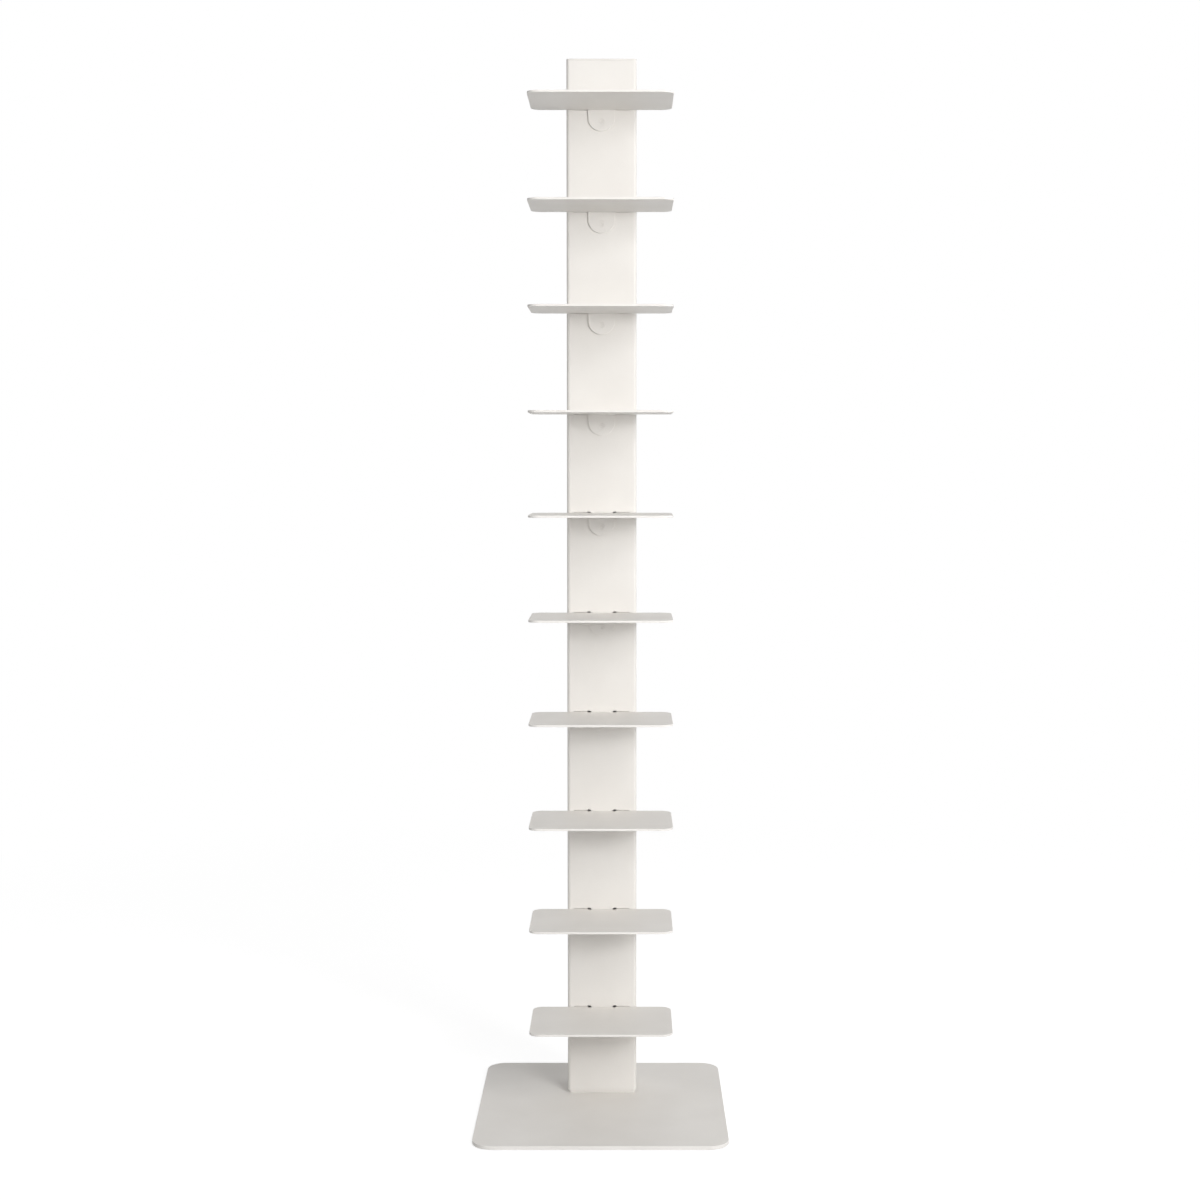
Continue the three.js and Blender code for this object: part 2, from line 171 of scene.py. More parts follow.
@dataclass(frozen=True)
class Basis:
    """A plane in space: its origin and two directions. Heights run along their cross product."""

    origin: Place
    right: Place
    up: Place

    @classmethod
    def level(cls, x: float = 0.0, y: float = 0.0, z: float = 0.0) -> Basis:
        """A level plane that looks up."""
        return cls((x, y, z), RIGHT, REAR)

    @property
    def axes(self) -> np.ndarray:
        """The right, up and outward directions as the rows of a matrix."""
        return np.array([self.right, self.up, np.cross(self.right, self.up)], float)

    def place(self, flat: np.ndarray) -> np.ndarray:
        """Points in space for (right, up, height): the origin plus each number times its axis."""
        return flat @ self.axes + np.array(self.origin)

    def turn(self, flat: np.ndarray) -> np.ndarray:
        """Directions in space for directions given as (right, up, height)."""
        return flat @ self.axes

    def flatten(self, points: np.ndarray) -> np.ndarray:
        """The (right, up) places of points in space."""
        return (points - np.array(self.origin)) @ self.axes[:2].T


def right_hand_normals(steps: np.ndarray) -> np.ndarray:
    """Unit normals of a line's steps: each step turned a quarter clockwise, over its length."""
    return np.stack([steps[:, 1], -steps[:, 0]], axis=1) / np.linalg.norm(steps, axis=1, keepdims=True)


def segment_normals(points: np.ndarray, closed: bool) -> np.ndarray:
    """Normals at both ends of each segment of a line, on its right-hand side.

    Two segments that meet at less than the smooth limit share the mean of their normals, weighted by the
    squares of their lengths, so that a long flat stretch keeps its own. At a sharper corner each keeps its
    own.

    Args:
        points: The line's points, one a row.
        closed: Whether the last point joins the first.

    Returns:
        An array (segment, end, component).
    """
    steps = np.roll(points, -1, axis=0) - points if closed else np.diff(points, axis=0)
    own = right_hand_normals(steps)
    weighted = own * np.sum(steps**2, axis=1, keepdims=True)
    shared = weighted + np.roll(weighted, -1, axis=0)
    shared /= np.maximum(np.linalg.norm(shared, axis=1, keepdims=True), np.finfo(float).tiny)
    smooth = np.sum(own * np.roll(own, -1, axis=0), axis=1) > math.cos(SMOOTH_LIMIT)
    smooth[-1] &= closed
    ends = np.where(smooth[:, None], shared, own)
    starts = np.where(np.roll(smooth, 1)[:, None], np.roll(shared, 1, axis=0), own)
    return np.stack([starts, ends], axis=1)


def arc(x: float, y: float, radius: float, start: float, end: float, steps: int) -> np.ndarray:
    """Points on an arc: its centre plus the radius times the cosine and sine of evenly spaced angles.

    Args:
        x: Centre's first coordinate.
        y: Centre's second coordinate.
        radius: Radius.
        start: First angle in radians.
        end: Last angle in radians.
        steps: Number of steps between the two.

    Returns:
        An array with one point a row, both ends included.
    """
    angles = np.linspace(start, end, steps + 1)
    return np.stack([x + radius * np.cos(angles), y + radius * np.sin(angles)], axis=1)


@dataclass(frozen=True)
class Outline:
    """A closed way in a plane, with the material on its left: anticlockwise round a sheet."""

    points: np.ndarray

    @classmethod
    def circle(cls, radius: float, x: float = 0.0, y: float = 0.0, steps: int = ROUND_STEPS) -> Outline:
        """An anticlockwise circle of evenly spaced points."""
        return cls(arc(x, y, radius, 0.0, 4.0 * QUARTER, steps)[:-1])

    @classmethod
    def rounded(cls, width: float, depth: float, radius: float, x: float = 0.0, y: float = 0.0) -> Outline:
        """A rectangle with quarter-circle corners, from the front-right corner round to the front-left one.

        Args:
            width: Size along the first axis.
            depth: Size along the second axis.
            radius: Radius of the corners.
            x: Middle's first coordinate.
            y: Middle's second coordinate.

        Returns:
            The closed way, whose closing segment is the front.
        """
        a = width / 2.0 - radius
        b = depth / 2.0 - radius
        corners = [(a, -b, -QUARTER), (a, b, 0.0), (-a, b, QUARTER), (-a, -b, 2.0 * QUARTER)]
        return cls(np.concatenate([
            arc(x + cx, y + cy, radius, start, start + QUARTER, CORNER_STEPS) for cx, cy, start in corners
        ]))

    @property
    def mitres(self) -> np.ndarray:
        """For each point, the step that moves both of its segments outwards by one.

        It is the sum of the two segments' normals over one plus their dot product.

        Returns:
            An array with one step a row.
        """
        own = right_hand_normals(np.roll(self.points, -1, axis=0) - self.points)
        before = np.roll(own, 1, axis=0)
        return (own + before) / (1.0 + np.sum(own * before, axis=1, keepdims=True))

    def reversed(self) -> Outline:
        """The same way walked clockwise, as a hole's is."""
        return Outline(self.points[::-1].copy())


def quarter_ease(outward: float, height: float, ease: float, facing: Facing) -> np.ndarray:
    """Profile points (outward, height) of an edge that is eased into a flat face by a quarter circle.

    The edge would be at the given place. The quarter circle touches the face one ease inside it, and the
    upright wall one ease from the face. The points run down, so from a face that looks out to the wall, and
    from the wall to a face that looks back.

    Args:
        outward: Place of the upright wall.
        height: Place of the flat face.
        ease: Radius of the quarter circle.
        facing: The side that the face looks to.

    Returns:
        An array with one point a row.
    """
    turn = np.linspace(0.0, QUARTER, EASE_STEPS + 1)
    points = np.stack([
        outward - ease + ease * np.sin(turn),
        height - facing.value * ease * (1.0 - np.cos(turn)),
    ], axis=1)
    return points if facing is Facing.OUT else points[::-1]


@dataclass(frozen=True)
class Mouth:
    """A hole's countersunk mouth: by how much a cone of 45 degrees widens it, and its wall's depth."""

    widening: float
    depth: float


def edge_profile(
    top: float, bottom: float, top_ease: float, bottom_ease: float, mouth: Mouth | None = None
) -> np.ndarray:
    """Profile of a sheet's or a hole's edge, from its top face round to its bottom face.

    Args:
        top: Height of the top face.
        bottom: Height of the bottom face.
        top_ease: Radius of the quarter circle at the top face.
        bottom_ease: Radius of the quarter circle at the bottom face.
        mouth: A hole's mouth at the bottom face.

    Returns:
        Points (outward, height), with a lead into each flat face first and last.
    """
    wall = 0.0
    cone = np.empty((0, 2))
    if mouth is not None:
        wall = -mouth.widening
        cone = np.array([[0.0, bottom + mouth.depth + mouth.widening], [wall, bottom + mouth.depth]])
    return np.concatenate([
        [[-LEAD, top]],
        quarter_ease(0.0, top, top_ease, Facing.OUT),
        cone,
        quarter_ease(wall, bottom, bottom_ease, Facing.BACK),
        [[-LEAD, bottom]],
    ])


def sheet_edge(sheet: float, ease: float, mouth: Mouth | None = None) -> np.ndarray:
    """Profile of the edge of a sheet, or of a hole in it, about the sheet's middle."""
    return edge_profile(sheet / 2.0, -sheet / 2.0, ease, ease, mouth)


def are_inside(points: np.ndarray, rings: Sequence[np.ndarray]) -> np.ndarray:
    """Tells which points lie inside an odd number of closed rings.

    A level ray from each point is crossed with every segment of the rings, and the crossings are counted.

    Args:
        points: Points (n, 2).
        rings: Closed ways, each (m, 2).

    Returns:
        One truth value for each point.
    """
    start = np.concatenate(rings)
    end = np.concatenate([np.roll(ring, -1, axis=0) for ring in rings])
    px, py = points[:, 0, None], points[:, 1, None]
    spans = (start[None, :, 1] > py) != (end[None, :, 1] > py)
    rise = np.where(start[:, 1] == end[:, 1], 1.0, end[:, 1] - start[:, 1])
    crossing = start[:, 0] + (py - start[:, 1]) / rise * (end[:, 0] - start[:, 0])
    return np.sum(spans & (px < crossing), axis=1) % 2 == 1


@dataclass
class Shell:
    """Points, faces and face-corner normals of one closed piece, gathered strip by strip."""

    points: list[np.ndarray] = field(default_factory=list)
    faces: list[np.ndarray] = field(default_factory=list)
    normals: list[np.ndarray] = field(default_factory=list)
    edge_polish_and_highlight: list[np.ndarray] = field(default_factory=list)

    def add_points(self, points: np.ndarray) -> np.ndarray:
        """Adds points.

        Args:
            points: Points (..., 3).

        Returns:
            Their numbers in the same layout.
        """
        first = sum(len(part) for part in self.points)
        flat = points.reshape(-1, 3)
        self.points.append(flat)
        return np.arange(first, first + len(flat)).reshape(points.shape[:-1])

    def add_faces(self, faces: np.ndarray, normals: np.ndarray, edge_polish_and_highlight: np.ndarray) -> None:
        """Adds faces.

        Args:
            faces: Numbers of their points (n, k).
            normals: Normals at their corners (n, k, 3).
            edge_polish_and_highlight: How much each of them is eased edge, which the coat polishes and
                paints lighter as a painted highlight (n).
        """
        self.faces.append(faces)
        self.normals.append(normals)
        self.edge_polish_and_highlight.append(edge_polish_and_highlight)

    def sweep(
        self,
        way: Outline,
        profile: np.ndarray,
        basis: Basis,
        closed: bool = False,
        left_out: Sequence[tuple[int, int]] = (),
    ) -> np.ndarray:
        """Carries a profile along a closed way and adds the strip of faces.

        The point in row k and column j is the way's point j plus the profile's outward number k times the
        mitre there, at the profile's height k. An open profile's first and last points aren't made: they
        lie in the flat faces that join the strip, and give its rims their slope. The strip's short segments,
        up to a limit times the median one, are marked as edge.

        Args:
            way: The closed way, with the material on its left.
            profile: Points (outward, height), from the top face down on the outer side.
            basis: The plane of the way.
            closed: Whether the profile closes on itself, without leads.
            left_out: Segments (profile, way) whose faces aren't made.

        Returns:
            The numbers of the points, one row for each profile point.
        """
        section = -segment_normals(profile, closed)
        rows = profile
        if not closed:
            section = section[1:-1]
            rows = profile[1:-1]
        plan = segment_normals(way.points, True)
        flat = np.concatenate([
            way.points[None] + rows[:, 0, None, None] * way.mitres[None],
            np.broadcast_to(rows[:, 1, None, None], (len(rows), len(way.points), 1)),
        ], axis=2)
        grid = self.add_points(basis.place(flat))
        above = grid if closed else grid[:-1]
        below = np.roll(grid, -1, axis=0) if closed else grid[1:]
        quads = np.stack([above, below, np.roll(below, -1, axis=1), np.roll(above, -1, axis=1)], axis=2)
        slopes = section[:, None, [0, 1, 1, 0]]
        turns = plan[None, :, [0, 0, 1, 1]]
        heights = np.broadcast_to(slopes[..., 1:], (*quads.shape, 1))
        normals = np.concatenate([slopes[..., :1] * turns, heights], axis=3)
        lengths = np.linalg.norm(np.roll(rows, -1, axis=0) - rows, axis=1)[:len(quads)]
        is_edge = lengths < np.median(lengths) * EDGE_LENGTH_LIMIT
        # Edge faces are polished by the coat and given a painted highlight
        edge_polish_and_highlight = np.broadcast_to(is_edge[:, None], quads.shape[:2]).astype(float)
        kept = np.ones(quads.shape[:2], bool)
        for profile_segment, way_segment in left_out:
            kept[profile_segment, way_segment] = False
        self.add_faces(quads[kept], basis.turn(normals[kept]), edge_polish_and_highlight[kept])
        return grid

    def fill(
        self,
        rings: Sequence[np.ndarray],
        basis: Basis,
        facing: Facing,
        links: np.ndarray | None = None,
    ) -> None:
        """Fills the flat face between closed rings of points.

        The rings' points are joined by a constrained triangulation, and the triangles whose middle lies
        inside an odd number of rings are kept.

        Args:
            rings: Numbers of the points of each ring.
            basis: The plane of the face.
            facing: The side that the face looks to.
            links: Pairs of point numbers that an edge has to join, such as across a bend.
        """
        used = np.concatenate(rings)
        flat = basis.flatten(np.concatenate(self.points)[used]) / MM
        ends = np.cumsum([len(ring) for ring in rings])
        local = [np.arange(end - len(ring), end) for ring, end in zip(rings, ends)]
        edges = np.concatenate([np.stack([ring, np.roll(ring, -1)], axis=1) for ring in local])
        if links is not None:
            order = np.argsort(used)
            edges = np.concatenate([edges, order[np.searchsorted(used, links, sorter=order)]])
        made = delaunay_2d_cdt(flat.tolist(), edges.tolist(), [], 1, FILL_TOLERANCE)
        if len(made[0]) != len(used):
            raise ValueError("the rings of a flat face touch or cross")
        triangles = np.array(made[2])
        middles = flat[triangles].mean(axis=1)
        triangles = triangles[are_inside(middles, [flat[ring] for ring in local])]
        first, second, third = (flat[triangles[:, corner]] for corner in range(3))
        turn = np.cross(second - first, third - first)
        wrong = turn * facing.value < 0.0
        triangles[wrong] = triangles[wrong][:, ::-1]
        outward = basis.turn(np.array([0.0, 0.0, facing.value]))
        normals = np.broadcast_to(outward, (*triangles.shape, 3))
        self.add_faces(used[triangles], normals, np.zeros(len(triangles)))

    def fill_both(
        self, grids: Sequence[np.ndarray], basis: Basis, links: np.ndarray | None = None
    ) -> None:
        """Fills the top and the bottom face between strips.

        Args:
            grids: Numbers of the points of each strip.
            basis: The plane of the way that the strips were carried along.
            links: Pairs of columns of the first strip that an edge has to join.
        """
        for row, facing in ((0, Facing.OUT), (-1, Facing.BACK)):
            joined = None if links is None else grids[0][row][links]
            self.fill([grid[row] for grid in grids], basis, facing, joined)

    def fold(self, folds: FoldedSheet, place: Place) -> None:
        """Folds the whole shell, so far flat, along the bends of a sheet, and moves it to its place.

        Args:
            folds: The sheet's bends.
            place: Where the flat sheet's origin goes.
        """
        points = np.concatenate(self.points)
        pairs = zip(self.faces, self.normals)
        self.normals = [folds.fold(points[faces], normals)[1] for faces, normals in pairs]
        self.points = [folds.fold(points, np.zeros_like(points))[0] + place]

    def mesh(self, name: str) -> bpy.types.Mesh:
        """Puts the shell into a mesh with smooth faces, its own corner normals and the edge attribute.

        Args:
            name: Name of the mesh.

        Returns:
            The mesh.
        """
        points = np.concatenate(self.points)
        sizes = np.concatenate([np.full(len(faces), faces.shape[1]) for faces in self.faces])
        corners = np.concatenate([faces.ravel() for faces in self.faces])
        normals = np.concatenate([part.reshape(-1, 3) for part in self.normals])
        normals = normals / np.linalg.norm(normals, axis=1, keepdims=True)
        mesh = bpy.data.meshes.new(name)
        mesh.vertices.add(len(points))
        mesh.vertices.foreach_set("co", points.ravel())
        mesh.loops.add(len(corners))
        mesh.loops.foreach_set("vertex_index", corners)
        mesh.polygons.add(len(sizes))
        mesh.polygons.foreach_set("loop_start", np.cumsum(sizes) - sizes)
        mesh.polygons.foreach_set("use_smooth", np.ones(len(sizes), bool))
        mesh.update(calc_edges=True)
        attribute = mesh.attributes.new(EDGE_ATTRIBUTE, "FLOAT", "FACE")
        attribute.data.foreach_set("value", np.concatenate(self.edge_polish_and_highlight))
        if mesh.validate():
            raise ValueError(f"the faces of {name} don't make a sound mesh")
        mesh.normals_split_custom_set(normals.tolist())
        return mesh


@dataclass(frozen=True)
class Bend:
    """A quarter bend of a sheet about a line along its width."""

    start: float
    radius: float
    upward: bool

    @property
    def length(self) -> float:
        """Length of the bend along the sheet's middle surface."""
        return self.radius * QUARTER

    @property
    def stations(self) -> np.ndarray:
        """Places along the sheet at which the bend is divided, both its ends included."""
        return self.start + np.linspace(0.0, self.length, BEND_STEPS + 1)

    def carry(self, points: np.ndarray, normals: np.ndarray) -> tuple[np.ndarray, np.ndarray]:
        """Bends points (across, along, height) and directions given in the same way.

        Along the middle surface the place runs straight to the bend's start, then over a quarter circle,
        then straight again. A point lies at its height along the surface's normal, which turns with it.

        Args:
            points: Points (..., 3) of the flat sheet.
            normals: Directions (..., 3) at those points.

        Returns:
            The bent points and the turned directions.
        """
        sign = 1.0 if self.upward else -1.0
        along = points[..., 1] - self.start
        angle = np.clip(along / self.radius, 0.0, QUARTER)
        straight = np.maximum(along - self.length, 0.0)
        cos, sin = np.cos(angle), np.sin(angle)
        height = points[..., 2]
        bent = np.stack([
            points[..., 0],
            self.start + np.minimum(along, 0.0) + self.radius * sin - sign * height * sin,
            sign * (self.radius * (1.0 - cos) + straight) + height * cos,
        ], axis=-1)
        turned = np.stack([
            normals[..., 0],
            normals[..., 1] * cos - sign * normals[..., 2] * sin,
            sign * normals[..., 1] * sin + normals[..., 2] * cos,
        ], axis=-1)
        return bent, turned


@dataclass(frozen=True)
class FoldedSheet:
    """The two kinds of bend of a shelf: its tab's in the middle, its hooks' on either side of that."""

    tab: Bend
    hooks: Bend
    divide: float

    def fold(self, points: np.ndarray, normals: np.ndarray) -> tuple[np.ndarray, np.ndarray]:
        """Folds points and directions: by the tab's bend inside the divide, and outside it by the hooks'.

        Args:
            points: Points (..., 3) of the flat sheet.
            normals: Directions (..., 3) at those points.

        Returns:
            The folded points and the turned directions.
        """
        in_tab = (np.abs(points[..., 0]) < self.divide)[..., None]
        tab_points, tab_normals = self.tab.carry(points, normals)
        hook_points, hook_normals = self.hooks.carry(points, normals)
        return np.where(in_tab, tab_points, hook_points), np.where(in_tab, tab_normals, hook_normals)


@dataclass(frozen=True)
class Bench:
    """The shader nodes of a material or a world."""

    tree: bpy.types.NodeTree

    @classmethod
    def clear(cls, owner: bpy.types.Material | bpy.types.World) -> Bench:
        """Turns an owner's nodes on and clears them away.

        Args:
            owner: The material or world.

        Returns:
            The bench on which its nodes are set out.
        """
        owner.use_nodes = True
        owner.node_tree.nodes.clear()
        return cls(owner.node_tree)

    def feed(self, target: bpy.types.NodeSocket, value: Feed) -> None:
        """Gives an input a number, a vector, a colour or another node's output.

        Args:
            target: The input.
            value: What it gets.
        """
        if isinstance(value, bpy.types.NodeSocket):
            self.tree.links.new(value, target)
        elif target.type == "RGBA":
            target.default_value = (*value, 1.0)
        else:
            target.default_value = value

    def node(self, kind: str, feeds: dict[str | int, Feed], **settings: str) -> bpy.types.Node:
        """Adds a node.

        Args:
            kind: Blender's name of its kind.
            feeds: What its inputs get, by their names or numbers.
            settings: Its own settings.

        Returns:
            The node.
        """
        made = self.tree.nodes.new(kind)
        for name, setting in settings.items():
            setattr(made, name, setting)
        for name, value in feeds.items():
            self.feed(made.inputs[name], value)
        return made

    def coordinates(self) -> bpy.types.NodeSocket:
        """The object's coordinates."""
        return self.node("ShaderNodeTexCoord", {}).outputs["Object"]

    def attribute(self, name: str) -> bpy.types.NodeSocket:
        """The value of a mesh's own attribute."""
        return self.node("ShaderNodeAttribute", {}, attribute_name=name).outputs["Fac"]

    def combine(self, operation: str, first: Feed, second: Feed) -> bpy.types.NodeSocket:
        """One arithmetic step on two values, by Blender's name of the step."""
        return self.node("ShaderNodeMath", {0: first, 1: second}, operation=operation).outputs[0]

    def mix(self, share: Feed, first: Feed, second: Feed) -> bpy.types.NodeSocket:
        """Mixes two shaders by the share of the second."""
        return self.node("ShaderNodeMixShader", {0: share, 1: first, 2: second}).outputs[0]

    def noise(self, grain: float, detail: float, stretch: Place = EVEN) -> bpy.types.NodeSocket:
        """A noise value between 0 and 1 whose features are about as wide as the grain.

        Args:
            grain: Width of a feature in metres.
            detail: Number of finer octaves.
            stretch: How much finer the noise is along each axis.

        Returns:
            The socket of the value.
        """
        scale = tuple(factor / grain for factor in stretch)
        mapping = self.node("ShaderNodeMapping", {"Vector": self.coordinates(), "Scale": scale})
        feeds = {"Vector": mapping.outputs["Vector"], "Scale": 1.0, "Detail": detail}
        return self.node("ShaderNodeTexNoise", feeds).outputs["Fac"]

    def spread(
        self, value: Feed, source: tuple[float, float], target: tuple[float, float]
    ) -> bpy.types.NodeSocket:
        """Maps one range of a value evenly onto another and clamps it there.

        Args:
            value: The value to map.
            source: Range that is read.
            target: Range that is given.

        Returns:
            The socket of the mapped value.
        """
        ends = zip(("From Min", "From Max", "To Min", "To Max"), (*source, *target))
        return self.node("ShaderNodeMapRange", {"Value": value, **dict(ends)}).outputs["Result"]

    def blend(self, share: Feed, low: Feed, high: Feed) -> bpy.types.NodeSocket:
        """Mixes two colours by a share between 0 and 1.

        Args:
            share: Share of the second colour.
            low: Colour at 0.
            high: Colour at 1.

        Returns:
            The socket of the mixed colour.
        """
        mix = self.node("ShaderNodeMix", {"Factor": share}, data_type="RGBA")
        colours = [socket for socket in mix.inputs if socket.type == "RGBA"]
        for socket, colour in zip(colours, (low, high)):
            self.feed(socket, colour)
        return next(socket for socket in mix.outputs if socket.type == "RGBA")

    def surface(self, looks: dict[str | int, Feed], height: Feed, depth: float) -> None:
        """Ends a material with a principled shader and its bump.

        Args:
            looks: What the shader's inputs get, by their names.
            height: Height of the bump, between 0 and 1.
            depth: Depth of the bump in metres.
        """
        bump = self.node("ShaderNodeBump", {"Strength": 1.0, "Distance": depth, "Height": height})
        shader = self.node("ShaderNodeBsdfPrincipled", {**looks, "Normal": bump.outputs["Normal"]})
        self.node("ShaderNodeOutputMaterial", {"Surface": shader.outputs["BSDF"]})


@dataclass(frozen=True)
class PowderCoat:
    """Warm off-white powder coat: slow drifts of tone, fine flecks, the orange peel of its flow, and eased
    edges polished and painted lighter as a painted highlight.
    """

    deep: Colour = (0.775, 0.749, 0.713)
    bright: Colour = (0.825, 0.801, 0.767)
    # Painted highlight: the lighter colour given to eased edges
    edge: Colour = (0.850, 0.830, 0.800)
    edge_highlight_and_polish_share: float = 0.6
    edge_polish: float = 0.08
    drift_grain: float = 90.0 * MM
    drift_detail: float = 3.0
    fleck_grain: float = 0.7 * MM
    fleck_detail: float = 2.0
    fleck_share: float = 0.35
    peel_grain: float = 1.8 * MM
    peel_detail: float = 1.0
    peel_depth: float = 0.016 * MM
    pinhole_grain: float = 0.45 * MM
    pinhole_range: tuple[float, float] = (0.30, 0.42)
    pinhole_share: float = 0.35
    smooth: float = 0.46
    rough: float = 0.53

    def material(self) -> bpy.types.Material:
        """Makes the material of its nodes.

        Returns:
            The material.
        """
        material = bpy.data.materials.new("powder_coat_off_white")
        bench = Bench.clear(material)
        drift = bench.noise(self.drift_grain, self.drift_detail)
        fleck = bench.noise(self.fleck_grain, self.fleck_detail)
        shares = ((fleck, self.fleck_share), (drift, 1.0 - self.fleck_share))
        fine, slow = (
            bench.combine("MULTIPLY", bench.spread(noise, NOISE_RANGE, UNIT_RANGE), share)
            for noise, share in shares
        )
        flat = bench.blend(bench.combine("ADD", fine, slow), self.deep, self.bright)
        # Eased edges: a painted highlight in the lighter edge colour, plus a little polish that lowers the
        # roughness
        edge_highlight_and_polish = bench.combine("MULTIPLY", bench.attribute(EDGE_ATTRIBUTE), self.edge_highlight_and_polish_share)
        gloss = bench.spread(drift, NOISE_RANGE, (self.rough, self.smooth))
        polish = bench.combine("MULTIPLY", edge_highlight_and_polish, self.edge_polish)
        looks = {
            "Base Color": bench.blend(edge_highlight_and_polish, flat, self.edge),
            "Roughness": bench.combine("SUBTRACT", gloss, polish),
        }
        peel = bench.noise(self.peel_grain, self.peel_detail)
        pinholes = bench.noise(self.pinhole_grain, 0.0)
        pinholes = bench.spread(pinholes, self.pinhole_range, (0.0, self.pinhole_share))
        bench.surface(looks, bench.combine("ADD", peel, pinholes), self.peel_depth)
        return material


@dataclass(frozen=True)
class PatchedFinish:
    """A finish that drifts between a dull, rough tone and a clean, smooth one, with a fine grain."""

    name: str
    dull: Colour
    clean: Colour
    rough: float
    smooth: float
    patch_grain: float
    patch_detail: float
    grain: float
    grain_detail: float
    grain_depth: float
    patch_range: tuple[float, float] = NOISE_RANGE
    grain_stretch: Place = EVEN
    metallic: float = 0.0

    def material(self) -> bpy.types.Material:
        """Makes the material of its nodes.

        Returns:
            The material.
        """
        material = bpy.data.materials.new(self.name)
        bench = Bench.clear(material)
        patch = bench.noise(self.patch_grain, self.patch_detail)
        patch = bench.spread(patch, self.patch_range, UNIT_RANGE)
        looks = {
            "Base Color": bench.blend(patch, self.dull, self.clean),
            "Roughness": bench.spread(patch, UNIT_RANGE, (self.rough, self.smooth)),
            "Metallic": self.metallic,
        }
        grain = bench.noise(self.grain, self.grain_detail, self.grain_stretch)
        bench.surface(looks, grain, self.grain_depth)
        return material


@dataclass(frozen=True)
class CapPlastic(PatchedFinish):
    """Moulded plastic matched to the coat, with the fine grain of a spark-eroded mould."""

    name: str = "cap_plastic_off_white"
    dull: Colour = (0.745, 0.720, 0.684)
    clean: Colour = (0.790, 0.766, 0.732)
    rough: float = 0.60
    smooth: float = 0.50
    patch_grain: float = 26.0 * MM
    patch_detail: float = 2.0
    grain: float = 0.35 * MM
    grain_detail: float = 2.0
    grain_depth: float = 0.012 * MM


@dataclass(frozen=True)
class ZincPlate(PatchedFinish):
    """Bright zinc on steel: bluish metal with duller, yellower patches and fine drawing marks."""

    name: str = "zinc_plate_bright"
    dull: Colour = (0.46, 0.455, 0.43)
    clean: Colour = (0.66, 0.68, 0.70)
    rough: float = 0.46
    smooth: float = 0.26
    patch_grain: float = 2.4 * MM
    patch_detail: float = 4.0
    grain: float = 0.25 * MM
    grain_detail: float = 2.0
    grain_depth: float = 0.010 * MM
    patch_range: tuple[float, float] = (0.3, 0.65)
    grain_stretch: Place = (1.0, 1.0, 6.0)
    metallic: float = 1.0


@dataclass(frozen=True)
class PadRubber(PatchedFinish):
    """Pale rubber of a stick-on floor pad, dusty and finely grained."""

    name: str = "pad_rubber_pale"
    dull: Colour = (0.50, 0.485, 0.455)
    clean: Colour = (0.62, 0.605, 0.575)
    rough: float = 0.92
    smooth: float = 0.78
    patch_grain: float = 5.0 * MM
    patch_detail: float = 5.0
    grain: float = 0.5 * MM
    grain_detail: float = 3.0
    grain_depth: float = 0.03 * MM
    patch_range: tuple[float, float] = (0.35, 0.65)


Finishes = dict[Slot, bpy.types.Material]


def finishes() -> Finishes:
    """Makes the four finishes.

    Returns:
        One material for each slot of the record.
    """
    return {
        Slot.POWDER_COAT: PowderCoat().material(),
        Slot.CAP_PLASTIC: CapPlastic().material(),
        Slot.ZINC_PLATE: ZincPlate().material(),
        Slot.PAD_RUBBER: PadRubber().material(),
    }


def numbered(prefix: str, count: int) -> list[str]:
    """Names of like CAD nodes: the prefix and a number of two digits, from 1 on."""
    return [f"{prefix}_{number:02d}" for number in range(1, count + 1)]


@dataclass(frozen=True)
class Piece:
    """One made piece: its object and the slot of its finish."""

    thing: bpy.types.Object
    slot: Slot

    @classmethod
    def make(cls, shell: Shell, node: str, slot: Slot) -> Piece:
        """Turns a shell into an object that rides on the body and stands for a CAD node.

        Args:
            shell: The closed shell.
            node: The CAD node that it stands for.
            slot: The record's slot of its finish.

        Returns:
            The piece.
        """
        name = f"{node}_{NAME_ENDINGS[slot]}"
        thing = bpy.data.objects.new(name, shell.mesh(name))
        bpy.context.scene.collection.objects.link(thing)
        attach(thing, BODY)
        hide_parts(node)
        points = np.concatenate(shell.points)
        slack = np.abs(np.array([points.min(axis=0), points.max(axis=0)]) - np.array(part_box(node))).max()
        LOG.info("%s: %d faces, off its CAD box by %.3f mm", name, len(thing.data.polygons), slack / MM)
        return cls(thing, slot)


@dataclass
class Assembly:
    """Pieces that are made together."""

    pieces: list[Piece] = field(default_factory=list, init=False)

    def add(self, shell: Shell, node: str, slot: Slot) -> None:
        """Makes a piece of a shell, which stands for a CAD node."""
        self.pieces.append(Piece.make(shell, node, slot))

    def dress(self, coats: Finishes) -> None:
        """Gives each piece the finish of its slot."""
        for piece in self.pieces:
            piece.thing.data.materials.append(coats[piece.slot])


